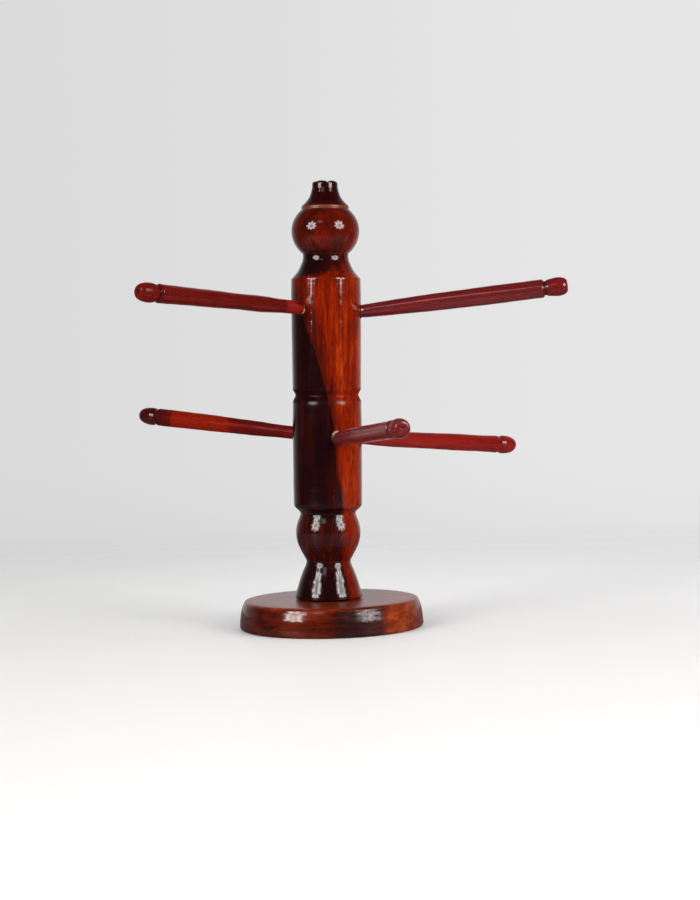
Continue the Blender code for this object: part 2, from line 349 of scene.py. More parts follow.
# ------------------------------------------------------------------ wood of the post
def post_wood():
    g = Graph("post_lacquered_wood")
    at = g.node("ShaderNodeTexCoord").outputs["Object"]
    # Figure wanders a little as it climbs.
    wander = g.node(
        "ShaderNodeTexNoise",
        {"Vector": g.place(at, (45, 45, 7)), "Scale": 1.0, "Detail": 2.0, "Roughness": 0.5},
    ).outputs["Color"]
    wander = g.vec("SCALE", g.vec("SUBTRACT", wander, (0.5, 0.5, 0.5)), scale=0.006)
    p = g.vec("ADD", at, wander)
    x, y, z = g.split(p)
    zz = g.split(at)[2]

    broad = g.noise(p, (210, 210, 15), 3.0, 0.55)  # streaks 5 mm wide
    fine = g.noise(p, (1300, 1300, 38), 3.0, 0.6, (3, 1, 7))  # fibres
    silk = g.noise(p, (480, 480, 22), 2.0, 0.5, (9, 4, 2))
    flecks = g.noise(p, (620, 620, 90), 2.0, 0.6, (4, 7, 1))  # short strokes

    # The black heartwood ends at one line up the blank, and the wood beyond it turns from brown to full
    # orange by another. Both are distances to the right of the axis (metres) against height.
    ragged = g.math("SUBTRACT", g.noise(p, (330, 330, 26), 3.0, 0.6, (5, 5, 5)), 0.5)
    heart_end = g.curve(
        zz, 0.02, 0.36,
        [(0.02, 0.0130), (0.0335, 0.0125), (0.066, 0.0088), (0.092, 0.0092), (0.104, 0.0092), (0.126, 0.0062), (0.150, 0.0040),
         (0.174, 0.0004), (0.195, -0.0040), (0.2265, -0.0135), (0.246, -0.0200), (0.252, -0.0240), (0.258, -0.0340),
         (0.30, -0.0350), (0.338, -0.0350), (0.36, -0.0350)],
        -0.036, 0.036,
    )
    orange_from = g.curve(
        zz, 0.02, 0.36,
        [(0.02, 0.0175), (0.0335, 0.0170), (0.066, 0.0165), (0.104, 0.0125), (0.126, 0.0100), (0.150, 0.0095),
         (0.174, 0.0100), (0.195, 0.0105), (0.2265, 0.0075), (0.246, 0.0030), (0.262, -0.0020), (0.277, -0.0040),
         (0.282, 0.0040), (0.2895, 0.0190), (0.298, 0.0230), (0.306, 0.0240), (0.331, 0.0240),
         (0.3375, 0.0200), (0.341, 0.033), (0.36, 0.035)],
        -0.036, 0.036,
    )
    # How brown the wood is beside the heartwood, and how orange it gets, up the blank.
    brown_tone = g.curve(
        zz, 0.02, 0.36,
        [(0.02, 0.46), (0.066, 0.52), (0.098, 0.40), (0.180, 0.42), (0.2265, 0.40), (0.262, 0.34), (0.278, 0.36), (0.282, 0.08),
         (0.290, 0.04), (0.298, 0.10), (0.302, 0.30), (0.318, 0.38), (0.334, 0.30), (0.3375, 0.17), (0.348, 0.15),
         (0.36, 0.20)],
        0.0, 1.0,
    )
    orange_tone = g.curve(
        zz, 0.02, 0.36,
        [(0.02, 0.72), (0.066, 0.72), (0.104, 0.84), (0.180, 0.80), (0.2265, 0.82), (0.262, 0.76), (0.278, 0.72),
         (0.282, 0.62), (0.290, 0.52), (0.298, 0.42), (0.302, 0.46), (0.318, 0.54), (0.334, 0.48), (0.3375, 0.26),
         (0.348, 0.20), (0.36, 0.24)],
        0.0, 1.0,
    )
    side = g.math("ADD", x, g.math("MULTIPLY", y, 0.10))
    off_heart = g.math("ADD", g.math("SUBTRACT", side, heart_end), g.math("MULTIPLY", ragged, 0.0034))
    out_of_heart = g.fit(off_heart, -0.0006, 0.0012)
    span = g.math("MAXIMUM", g.math("SUBTRACT", orange_from, heart_end), 0.002)
    along = g.math("DIVIDE", g.math("SUBTRACT", side, heart_end), span)
    in_cove = g.math("MULTIPLY", g.fit(zz, 0.2785, 0.2825), g.fit(zz, 0.3030, 0.2960))
    held = g.math("MULTIPLY", in_cove, 0.42)
    along = g.math("DIVIDE", g.math("SUBTRACT", along, held), g.math("SUBTRACT", 1.0, held))
    cloud = g.math("SUBTRACT", g.noise(p, (62, 62, 46), 3.0, 0.55, (1, 2, 3)), 0.5)
    cloud = g.math("MAXIMUM", cloud, -0.09)
    # The balls show the figure as clouds, the barrels as streaks.
    on_ball = g.math("MULTIPLY", g.fit(zz, 0.296, 0.302), g.fit(zz, 0.338, 0.333))
    tone = g.node("ShaderNodeMix", {0: g.fit(along, 0.0, 1.0), 2: brown_tone, 3: orange_tone}).outputs[0]
    lively = g.fit(tone, 0.10, 0.45, 0.25, 1.0)
    stir = g.math("MULTIPLY", cloud, g.fit(on_ball, 0.0, 1.0, 0.40, 1.05))
    stir = g.math("ADD", stir, g.math("MULTIPLY", g.math("SUBTRACT", broad, 0.5), g.fit(on_ball, 0.0, 1.0, 0.70, 0.12)))
    stir = g.math("ADD", stir, g.math("MULTIPLY", g.math("SUBTRACT", flecks, 0.5), g.fit(on_ball, 0.0, 1.0, 0.55, 0.05)))
    tone = g.math("ADD", tone, g.math("MULTIPLY", stir, lively))
    heart_tone = g.math("ADD", 0.05, g.math("MULTIPLY", g.fit(broad, 0.44, 0.78), 0.30))
    heart_tone = g.math("ADD", heart_tone, g.math("MULTIPLY", g.fit(cloud, 0.02, 0.22), 0.08))
    on_low_ball = g.math("MULTIPLY", g.fit(zz, 0.050, 0.058), g.fit(zz, 0.092, 0.084))
    heart_tone = g.math("ADD", heart_tone, g.math("MULTIPLY", on_low_ball, 0.18))
    tone = g.node("ShaderNodeMix", {0: out_of_heart, 2: heart_tone, 3: tone}).outputs[0]
    colour = g.ramp(
        tone,
        [(0.0, (0.0080, 0.0013, 0.0018)), (0.12, (0.0150, 0.0016, 0.0021)), (0.28, (0.0330, 0.0026, 0.0022)),
         (0.48, (0.0860, 0.0052, 0.0014)), (0.66, (0.1580, 0.0076, 0.0006)), (0.82, (0.2250, 0.0128, 0.0008)),
         (1.0, (0.3200, 0.0300, 0.0022))],
    )
    fibre = g.fit(fine, 0.30, 0.72, 0.72, 1.24)
    fibre = g.node("ShaderNodeMix", {0: g.math("MULTIPLY", on_ball, 0.70), 2: fibre, 3: 1.0}).outputs[0]
    colour = g.mix(1.0, colour, g.node("ShaderNodeCombineColor", {0: fibre, 1: fibre, 2: fibre}).outputs[0], "MULTIPLY")
    sheen = g.fit(silk, 0.35, 0.70, 0.86, 1.12)
    colour = g.mix(1.0, colour, g.node("ShaderNodeCombineColor", {0: sheen, 1: sheen, 2: sheen}).outputs[0], "MULTIPLY")
    # Open pores: dark dashes along the grain.
    pores = g.fit(g.noise(p, (900, 900, 150), 1.0, 0.5, (1, 8, 3)), 0.620, 0.680)
    pores = g.math("MULTIPLY", pores, g.fit(g.noise(p, (120, 120, 30), 1.0, 0.5, (2, 2, 9)), 0.36, 0.56))
    pores = g.math("MULTIPLY", pores, g.fit(on_ball, 0.0, 1.0, 1.0, 0.15))
    colour = g.mix(g.math("MULTIPLY", pores, 0.78), colour, (0.014, 0.0018, 0.0012))
    # Crisp edges carry less stain and lacquer, so the wood shows lighter along the ring; part of that lighter colour is
    # a painted reflection of the lamps.
    ring = g.math("MULTIPLY", g.fit(zz, 0.3332, 0.3345), g.fit(zz, 0.3370, 0.3361))
    colour = g.mix(g.math("MULTIPLY", ring, 0.75), colour, (0.210, 0.0380, 0.0080))
    # The end of the finial is raw end grain under the lacquer.
    rim = g.fit(zz, 0.3552, 0.3562)
    colour = g.mix(g.math("MULTIPLY", rim, 0.55), colour, (0.085, 0.030, 0.018))

    rough = g.fit(fine, 0.2, 0.8, 0.42, 0.60)
    grain = g.math("SUBTRACT", g.math("MULTIPLY", fine, 0.5), g.math("MULTIPLY", pores, 1.0))
    grain_bump = g.bump(grain, 0.00012)
    # The lacquer lies over fine turning lines and sunken grain.
    lines = g.noise(at, (22, 22, 900), 2.0, 0.55, (4, 4, 1))
    sunk = g.noise(at, (640, 640, 34), 2.0, 0.5, (7, 3, 5))
    peel = g.noise(at, (190, 190, 150), 2.0, 0.5, (5, 6, 8))
    on_barrel = g.math("MULTIPLY", g.fit(zz, 0.098, 0.102), g.fit(zz, 0.279, 0.276))
    height = g.math("ADD", g.math("MULTIPLY", lines, g.fit(on_barrel, 0.0, 1.0, 0.25, 0.45)), g.math("MULTIPLY", sunk, g.fit(on_barrel, 0.0, 1.0, 0.40, 0.34)))
    rippled = g.math("SUBTRACT", g.fit(on_barrel, 0.0, 1.0, 1.00, 0.36), g.fit(zz, 0.096, 0.090, 0.0, 0.45))
    height = g.math("ADD", height, g.math("MULTIPLY", peel, rippled))
    height = g.math("SUBTRACT", height, g.math("MULTIPLY", pores, 0.25))
    height = g.math("ADD", height, g.math("MULTIPLY", g.math("MULTIPLY", in_cove, sunk), 0.9))
    gloss_bump = g.bump(height, 0.000055)
    # The groove and its chamfers were harder to rub down and stayed duller.
    in_groove = g.math("MULTIPLY", g.fit(zz, 0.1755, 0.1800), g.fit(zz, 0.1935, 0.1900))
    on_ring = g.math("MULTIPLY", g.fit(zz, 0.3325, 0.3335), g.fit(zz, 0.3385, 0.3372))
    dull = g.math("ADD", 0.05, g.math("MULTIPLY", in_groove, 0.11))
    dull = g.math("ADD", dull, g.math("MULTIPLY", on_barrel, 0.015))
    low_down = g.fit(zz, 0.096, 0.090)
    dull = g.math("ADD", dull, g.math("MULTIPLY", low_down, 0.042))
    dull = g.math("ADD", dull, g.math("MULTIPLY", on_ring, 0.25))
    dull = g.math("ADD", dull, g.math("MULTIPLY", g.noise(at, (60, 60, 60), 2.0, 0.5, (5, 1, 4)), 0.03))
    lacquer(g, colour, rough, grain_bump, gloss_bump, dull)
    g.put(g.shader.inputs["Coat Weight"], g.math("SUBTRACT", 1.0, g.math("MULTIPLY", g.math("MULTIPLY", g.fit(zz, 0.1790, 0.1822), g.fit(zz, 0.1925, 0.1900)), 0.85)))
    return g.material


# ------------------------------------------------------------------ wood of the base
def base_wood():
    g = Graph("base_lacquered_wood")
    at = g.node("ShaderNodeTexCoord").outputs["Object"]
    wander = g.node(
        "ShaderNodeTexNoise",
        {"Vector": g.place(at, (14, 34, 60)), "Scale": 1.0, "Detail": 2.0, "Roughness": 0.5},
    ).outputs["Color"]
    p = g.vec("ADD", at, g.vec("SCALE", g.vec("SUBTRACT", wander, (0.5, 0.5, 0.5)), scale=0.008))
    x, y, z = g.split(p)
    zz = g.split(at)[2]
    broad = g.noise(p, (16, 120, 230), 3.0, 0.6)
    fine = g.noise(p, (60, 1100, 1100), 3.0, 0.6, (2, 5, 1))
    # Dark heart runs across the disc a little right of the middle, with paler wood towards each edge.
    tone = g.curve(
        x, -0.075, 0.075,
        [(-0.075, 0.36), (-0.056, 0.30), (-0.046, 0.32), (-0.032, 0.54), (-0.012, 0.52), (0.002, 0.36), (0.012, 0.16), (0.030, 0.16),
         (0.040, 0.30), (0.050, 0.86), (0.062, 0.80), (0.075, 0.50)],
        0.0, 1.0,
    )
    # The top face is given an even tone, lighter than most of the side.
    face = g.fit(zz, 0.0190, 0.0226)
    tone = g.node("ShaderNodeMix", {0: g.math("MULTIPLY", face, 0.80), 2: tone, 3: 0.74}).outputs[0]
    tone = g.math("ADD", tone, g.math("MULTIPLY", g.math("SUBTRACT", broad, 0.5), 1.0), clamp=True)
    colour = g.ramp(
        tone,
        [(0.0, (0.016, 0.0028, 0.0024)), (0.25, (0.042, 0.0046, 0.0024)), (0.50, (0.098, 0.0090, 0.0024)),
         (0.75, (0.175, 0.0190, 0.0030)), (1.0, (0.320, 0.0520, 0.0050))],
    )
    fibre = g.fit(fine, 0.30, 0.72, 0.74, 1.22)
    colour = g.mix(1.0, colour, g.node("ShaderNodeCombineColor", {0: fibre, 1: fibre, 2: fibre}).outputs[0], "MULTIPLY")
    pores = g.fit(g.noise(p, (110, 800, 800), 1.0, 0.5, (6, 1, 3)), 0.65, 0.72)
    colour = g.mix(g.math("MULTIPLY", pores, 0.7), colour, (0.012, 0.0026, 0.0020))
    # Specks of dust and flat spots caught in the last coat.
    # The bottom edge and the underside are bare, sanded wood.
    bare_edge = g.math("ADD", zz, g.math("MULTIPLY", g.noise(at, (300, 300, 300), 2.0), 0.0008))
    bare = g.fit(bare_edge, 0.00085, 0.00055)
    raw = g.mix(broad, (0.42, 0.27, 0.15), (0.55, 0.39, 0.24))
    raw = g.mix(g.math("MULTIPLY", g.fit(fine, 0.35, 0.65), 0.35), raw, (0.30, 0.17, 0.09))
    colour = g.mix(bare, colour, raw)
    rough = g.mix(bare, g.node("ShaderNodeCombineColor", {0: g.fit(fine, 0.2, 0.8, 0.40, 0.60), 1: 0.5, 2: 0.5}).outputs[0], (0.85, 0.85, 0.85))
    rough = g.node("ShaderNodeSeparateColor", {0: rough}).outputs[0]
    grain = g.math("SUBTRACT", g.math("MULTIPLY", fine, 0.5), g.math("MULTIPLY", pores, 1.0))
    grain_bump = g.bump(grain, 0.00012)
    peel = g.noise(at, (230, 230, 230), 2.0, 0.5, (2, 6, 8))
    specks = g.fit(g.noise(at, (900, 900, 900), 2.0, 0.6, (1, 2, 3)), 0.60, 0.74)
    crumbs = g.fit(x, -0.004, 0.014, 0.06, 2.4)
    height = g.math("ADD", g.math("MULTIPLY", peel, g.fit(x, -0.004, 0.014, 0.45, 2.3)), g.math("MULTIPLY", specks, crumbs))
    height = g.math("ADD", height, g.math("MULTIPLY", g.noise(at, (40, 520, 520), 2.0), 0.04))
    on_top = g.fit(zz, 0.0215, 0.0228)
    dull = g.math("ADD", g.node("ShaderNodeMix", {0: on_top, 2: g.fit(x, -0.004, 0.014, 0.115, 0.165), 3: 0.30}).outputs[0], g.math("MULTIPLY", g.math("SUBTRACT", g.noise(at, (80, 80, 80), 2.0), 0.5), 0.06))
    lacquer(g, colour, rough, grain_bump, g.bump(height, 0.00006), dull)
    g.put(g.shader.inputs["Coat Weight"], g.math("SUBTRACT", 1.0, bare))
    return g.material


# ------------------------------------------------------------------ dyed wood of the pegs
def peg_wood(name, length, dark, mid, light, seed, patch=None, end_dark=0.0, dull=0.06, rings=0.5, knob_dull=None, film=1.0, knob_film=1.0, film_ior=1.5, neck_shade_amount=0.80, ring_pitch=1000, root_film=1.0):
    """Red dye under lacquer. The peg's own Z runs out along it. patch is (start, end, colour) in metres."""
    g = Graph(name)
    at = g.node("ShaderNodeTexCoord").outputs["Object"]
    s = (seed * 3.7, seed * 1.9, seed * 2.3)
    wander = g.node(
        "ShaderNodeTexNoise",
        {"Vector": g.place(at, (70, 70, 12), s), "Scale": 1.0, "Detail": 2.0, "Roughness": 0.5},
    ).outputs["Color"]
    p = g.vec("ADD", at, g.vec("SCALE", g.vec("SUBTRACT", wander, (0.5, 0.5, 0.5)), scale=0.004))
    zz = g.split(at)[2]
    broad = g.noise(p, (260, 260, 16), 3.0, 0.6, s)
    blotch = g.noise(p, (60, 60, 26), 2.0, 0.5, s)
    fine = g.noise(p, (1150, 1150, 50), 2.0, 0.6, s)
    tone = g.math("ADD", g.math("MULTIPLY", broad, 0.65), g.math("MULTIPLY", blotch, 0.35))
    colour = g.ramp(tone, [(0.28, dark), (0.50, mid), (0.72, light)])
    if patch:
        start, end, tint = patch
        ragged = g.math("ADD", zz, g.math("MULTIPLY", g.math("SUBTRACT", broad, 0.5), 0.085))
        inside = g.math("MULTIPLY", g.fit(ragged, start - 0.002, start + 0.004), g.fit(zz, end + 0.002, end - 0.002))
        colour = g.mix(g.math("MULTIPLY", inside, 0.85), colour, tint)
    on_knob = g.fit(zz, length - 0.019, length - 0.015)
    fibre = g.fit(fine, 0.30, 0.72, 0.88, 1.11)
    fibre = g.node("ShaderNodeMix", {0: g.math("MULTIPLY", on_knob, 0.8), 2: fibre, 3: 1.0}).outputs[0]
    colour = g.mix(1.0, colour, g.node("ShaderNodeCombineColor", {0: fibre, 1: fibre, 2: fibre}).outputs[0], "MULTIPLY")
    pores = g.fit(g.noise(p, (1200, 1200, 170), 1.0, 0.5, s), 0.64, 0.71)
    pores = g.math("MULTIPLY", pores, g.fit(on_knob, 0.0, 1.0, 1.0, 0.1))
    colour = g.mix(g.math("MULTIPLY", pores, 0.26), colour, (0.010, 0.0014, 0.0014))
    # Painted shade: the neck groove and the centre hole in the flat end are darkened.
    tip = g.node("ShaderNodeAttribute", attribute_name="neck_shade", attribute_type="GEOMETRY").outputs["Fac"]
    colour = g.mix(g.math("MULTIPLY", tip, neck_shade_amount), colour, (0.012, 0.0020, 0.0022))
    if end_dark:
        far = g.fit(zz, 0.150, 0.172, 0.0, end_dark)
        colour = g.mix(far, colour, (0.030, 0.0030, 0.0035))
    rough = g.fit(fine, 0.2, 0.8, 0.40, 0.62)
    grain_bump = g.bump(g.math("SUBTRACT", g.math("MULTIPLY", fine, 0.6), pores), 0.00003)
    peel = g.noise(at, (420, 420, 120), 2.0, 0.5, s)
    lines = g.noise(at, (60, 60, ring_pitch), 2.0, 0.5, s)
    sunk = g.noise(at, (560, 560, 40), 2.0, 0.5, s)
    height = g.math("ADD", g.math("MULTIPLY", peel, 0.9), g.math("MULTIPLY", lines, rings))
    height = g.math("ADD", height, g.math("MULTIPLY", sunk, 0.30))
    height = g.math("MULTIPLY", height, g.fit(on_knob, 0.0, 1.0, 1.0, 0.35))
    if knob_dull is not None:
        dull = g.fit(zz, length - 0.020, length - 0.014, dull, knob_dull)
    lacquer(g, colour, rough, grain_bump, g.bump(height, 0.00005), dull)
    g.shader.inputs["Coat IOR"].default_value = film_ior
    if film < 1.0 or knob_film < 1.0:
        # The coat is thin where it was wiped off round the root.
        shaft_film = g.fit(zz, 0.036, 0.052, film * root_film, film)
        g.put(g.shader.inputs["Coat Weight"], g.fit(zz, length - 0.021, length - 0.017, shaft_film, knob_film))
    return g.material


def bead_finish():
    """Glue and lacquer pooled where a peg leaves the post. It dried pale in places."""
    g = Graph("root_bead")
    at = g.node("ShaderNodeTexCoord").outputs["Object"]
    pale = g.node("ShaderNodeAttribute", attribute_name="pale", attribute_type="GEOMETRY").outputs["Fac"]
    mottle = g.noise(at, (900, 900, 900), 2.0, 0.6)
    dark = g.mix(mottle, (0.020, 0.0022, 0.0016), (0.070, 0.0070, 0.0040))
    light = g.mix(mottle, (0.20, 0.10, 0.05), (0.62, 0.40, 0.24))
    edge = g.fit(g.math("ADD", pale, g.math("MULTIPLY", g.math("SUBTRACT", mottle, 0.5), 2.2)), 0.45, 0.75)
    colour = g.mix(edge, dark, light)
    rough = g.fit(mottle, 0.2, 0.8, 0.35, 0.6)
    height = g.noise(at, (700, 700, 700), 3.0, 0.6)
    lacquer(g, colour, rough, g.bump(height, 0.0001), g.bump(height, 0.00006))
    return g.material


# ------------------------------------------------------------------ turned pieces
def post_profile():
    z = POST_HEIGHT
    b = BARREL_RADIUS
    outer = [(0.0, z)] + smooth_run([(3.0, z - 0.05), (6.0, z - 0.4), (8.8, z - 1.0), (9.9, z - 1.9), (10.2, z - 3.4)], 8)
    outer += smooth_run([(10.3, z - 6.2), (11.9, 345.4), (14.2, 341.5), (18.0, 337.3)], 12)
    outer += [(18.85, 336.4), (18.95, 335.4), (18.75, 334.0)]
    outer += oval_arc(27.2, 23.6, 317.0, 333.4, 317.0, 26) + oval_arc(27.2, 24.9, 317.0, 316.6, 298.6, 28)
    outer += smooth_run([(18.2, 297.0), (18.25, 295.4), (19.0, 292.3), (21.9, 285.9), (26.6, 280.0)], 12)
    outer += [(b - 0.1, 278.9), (b + 0.05, 277.6), (b + 0.2, 265.0), (b, 235.0), (b - 0.4, 191.4)]
    outer += smooth_run([(b - 0.5, 190.6), (26.0, 188.6), (25.15, 186.6), (25.4, 185.2), (26.2, 183.6)], 8)
    outer += [(26.95, 182.1), (b - 0.4, 180.6), (b - 0.1, 165.0), (b - 0.2, 120.0), (b - 0.3, 100.6)]
    outer += smooth_run([(27.3, 98.6), (26.1, 96.4), (24.3, 94.8), (22.7, 93.2), (22.1, 92.2)], 8)
    outer += [(22.1, 91.4), (22.4, 90.4)]
    outer += smooth_run([(22.9, 89.0), (24.7, 84.3), (25.75, 79.5), (25.9, 76.0), (25.4, 71.5), (24.1, 66.6), (21.85, 61.8), (19.3, 57.0), (17.7, 54.0)], 8)
    outer += smooth_run([(17.65, 53.3), (18.4, 50.5), (20.4, 45.7), (22.9, 39.2), (25.35, 31.2), (26.5, 26.9), (26.75, 25.2), (26.5, 24.1), (25.7, 23.45)], 8)
    hidden = [
        (24.8, POST_FOOT_Z),
        (TENON_RADIUS, POST_FOOT_Z),
        (TENON_RADIUS, POST_FOOT_Z - TENON_LENGTH + 1.0),
        (TENON_RADIUS - 1.0, POST_FOOT_Z - TENON_LENGTH),
        (0.0, POST_FOOT_Z - TENON_LENGTH),
    ]
    fine = eased(outer, 0.30)
    fine[:, 1] = np.minimum(fine[:, 1], POST_HEIGHT)

    def spacing(p):
        r, height = p
        if 100 < height < 181 or 192 < height < 277:
            near = abs(height - 152.5) < 9 or abs(height - 254) < 9
            return 0.9 if near else 2.4
        return 0.55 if height < 340 else 0.5

    return np.concatenate([resample(fine, spacing), hidden])


def post_wobble(a, z, r):
    """Hand turning: out of round by a few hundredths, with shallow waves up the barrels."""
    out = 0.05 * np.sin(2 * a + 0.013 * z) + 0.03 * np.sin(3 * a - 0.021 * z + 1.0)
    out += 0.045 * np.sin(z * 0.31 + 0.5) * np.sin(z * 0.047) + 0.02 * np.sin(z * 0.83 + 1.7)
    out *= np.clip((POST_HEIGHT - z) / 12.0, 0, 1) * np.clip(r / 20.0, 0, 1) * (z > POST_FOOT_Z + 0.2)
    # The finial was parted off by hand: the rim of its end is uneven.
    return out


post = lathe("turned_post", post_profile(), 144, post_wobble)

# The end of the finial: uneven rim and the slot left by the lathe's drive spur.
co = np.empty(len(post.data.vertices) * 3, np.float32)
post.data.vertices.foreach_get("co", co)
co = co.reshape(-1, 3) / MM
top = np.clip((co[:, 2] - (POST_HEIGHT - 3.0)) / 2.4, 0, 1)
notch = np.exp(-(((co[:, 0] - 2.2) / 1.15) ** 4))
lump = 0.35 * np.sin(co[:, 0] * 0.62 + 0.6) * np.cos(co[:, 1] * 0.55 - 0.4) - 0.25
co[:, 2] += top * (np.minimum(lump, 0.0) - 1.15 * notch)
# The foot is trimmed to sit level on the base.
low_end = (co[:, 2] > POST_FOOT_Z - 0.01) & (co[:, 2] < POST_FOOT_Z + FOOT_TRIM)
trim = np.where(low_end, 1.0 - (co[:, 2] - POST_FOOT_Z) / FOOT_TRIM, 0.0)
co[:, 2] += trim * co[:, 0] * math.tan(math.radians(POST_LEAN))
post.data.vertices.foreach_set("co", (co * MM).astype(np.float32).ravel())
post.data.update()


def base_profile():
    r_top, r_foot = 70.5, 73.9
    outer = [(0.0, BASE_HEIGHT - SOCKET_DEPTH), (SOCKET_RADIUS - 0.3, BASE_HEIGHT - SOCKET_DEPTH), (SOCKET_RADIUS, BASE_HEIGHT - SOCKET_DEPTH + 0.3)]
    outer += [(SOCKET_RADIUS, BASE_HEIGHT - 0.3), (SOCKET_RADIUS + 0.3, BASE_HEIGHT)]
    rim = [(SOCKET_RADIUS + 0.6, BASE_HEIGHT), (24.0, BASE_HEIGHT), (45.0, BASE_HEIGHT + 0.0), (60.0, BASE_HEIGHT)]
    rim += corner(r_top - 3.4 + 0.1, BASE_HEIGHT - 3.4, 3.4, 90, 14, 18)
    rim += smooth_run([(r_top + 0.75, 18.8), (r_top + 1.45, 16.4), (r_top + 2.25, 12.8), (r_top + 2.75, 9.0), (r_top + 3.1, 5.6), (r_foot - 0.2, 3.4)], 10)
    rim += corner(r_foot - 2.95, 2.8, 2.8, 0, -90, 16)
    rim += [(55.0, 0.0), (25.0, 0.0), (2.0, 0.0)]

    def spacing(p):
        return 0.55 if p[0] > 66.0 else 3.0

    rim = resample(rim, spacing)
    return np.concatenate([outer, rim, [(0.0, 0.0)]])


def base_wobble(a, z, r):
    """The side was turned and sanded by hand: it is a little wavy."""
    out = 0.10 * np.sin(2 * a + 0.4) + 0.05 * np.sin(5 * a + 1.1) + 0.05 * np.sin(0.9 * z + 2 * a)
    return out * np.clip((r - 60.0) / 10.0, 0, 1) - 0.12 * np.clip((r - 60.0) / 10.0, 0, 1)


base = lathe("turned_base", base_profile(), 224, base_wobble)
# The socket follows the post's lean and stands off centre; the top and the rim stay where they are.
co = np.empty(len(base.data.vertices) * 3, np.float32)
base.data.vertices.foreach_get("co", co)
co = co.reshape(-1, 3)
inside = np.hypot(co[:, 0], co[:, 1]) < (SOCKET_RADIUS + 1.0) * MM
inside &= co[:, 2] > 5.0 * MM
co[inside, 0] += SOCKET_OFFSET * MM + (co[inside, 2] - BASE_HEIGHT * MM) * math.tan(math.radians(POST_LEAN))
base.data.vertices.foreach_set("co", co.ravel())
base.data.update()


def peg_stations(peg):
    tip = peg["length"]
    stretch = tip - 20.0 - PEG_SHOULDER
    fractions = (0.015, 0.13, 0.28, 0.46, 0.68, 0.86, 1.0)
    shaft = [(r, PEG_SHOULDER + stretch * f) for r, f in zip(peg["shaft"], fractions)]
    neck, knob, crown, end = peg["neck"], peg["knob"], peg["crown"], peg["end"]
    body = [(PEG_TENON_RADIUS, PEG_SHOULDER - 0.4)] + smooth_run(shaft, 10)
    body += [(shaft[-1][0] - 0.05, tip - 19.4), (shaft[-1][0] - 0.5, tip - 18.9)]
    body += [(neck + 0.25, tip - 18.4), (neck, tip - 17.4)]
    cap = [(neck + 0.15, tip - 16.8), (neck + 0.45 * (knob - neck), tip - 15.6)]
    if crown < 11.0:
        cap.append((neck + 0.85 * (knob - neck), tip - crown - 2.6))
    else:
        cap.append((knob - 0.12, tip - 14.2))
    arc = []
    for k in range(13):
        t = 0.5 * math.pi * k / 13
        arc.append((end + (knob - end) * math.cos(t), tip - crown + (crown - 0.2) * math.sin(t)))
    body += smooth_run(cap + arc[:1], 8) + arc[1:]
    body += [(end, tip - 0.12), (end - 0.5, tip), (1.75, tip)]
    return body


def make_peg(name, peg, seed):
    rng = np.random.default_rng(seed)
    body = eased(peg_stations(peg), 0.20)
    tip = peg["length"]

    def spacing(p):
        return 0.42 if p[1] > tip - 24 else 1.1

    outer = resample(body, spacing)
    # The turning centre's hole in the flat end.
    hole = [(1.4, tip - 0.15), (1.1, tip - 0.6), (0.6, tip - 1.1), (0.0, tip - 1.3)]
    start = [
        (0.0, PEG_TENON_START),
        (PEG_TENON_RADIUS - 0.6, PEG_TENON_START),
        (PEG_TENON_RADIUS, PEG_TENON_START + 0.6),
        (PEG_TENON_RADIUS, 18.0),
        (PEG_TENON_RADIUS, PEG_SHOULDER - 1.2),
    ]
    profile = np.concatenate([start, outer, hole])
    phases = rng.uniform(0, 2 * math.pi, 6)

    def wobble(a, z, r):
        """A thin peg turned by eye: slightly oval, with flats and waves along it."""
        grow = np.clip((z - 32.0) / 20.0, 0, 1)
        out = 0.10 * np.sin(2 * a + phases[0] + 0.030 * z) + 0.045 * np.sin(3 * a + phases[1] - 0.05 * z)
        out += 0.055 * np.sin(0.145 * z + phases[2]) + 0.035 * np.sin(0.41 * z + phases[3] + a)
        return out * grow * np.clip(r / 5.0, 0, 1) ** 2

    piece = lathe("turned_" + name, profile, 72, wobble)
    # How far each point lies in the neck or in the centre hole, for the painted shade there.
    z = np.empty(len(piece.data.vertices) * 3, np.float32)
    piece.data.vertices.foreach_get("co", z)
    z = z.reshape(-1, 3)
    neck_shade_mask = np.exp(-(((z[:, 2] / MM - (tip - 17.2)) / 1.15) ** 2))
    centre = np.hypot(z[:, 0], z[:, 1]) / MM
    neck_shade_mask = np.maximum(neck_shade_mask, np.where((z[:, 2] / MM > tip - 1.6) & (centre < 1.7), 1.0, 0.0))
    attribute = piece.data.attributes.new("neck_shade", "FLOAT", "POINT")
    attribute.data.foreach_set("value", neck_shade_mask.astype(np.float32))
    return piece


def aim(peg):
    turn, rise = math.radians(peg["turn"]), math.radians(peg["rise"])
    along = Vector((math.sin(turn) * math.cos(rise), -math.cos(turn) * math.cos(rise), math.sin(rise)))
    across = Vector((math.cos(turn), math.sin(turn), 0.0))
    third = along.cross(across)
    return STANDING @ Matrix.Translation((0.0, 0.0, peg["height"] * MM)) @ Matrix(
        (across, third, along)
    ).transposed().to_4x4(), along, across, third


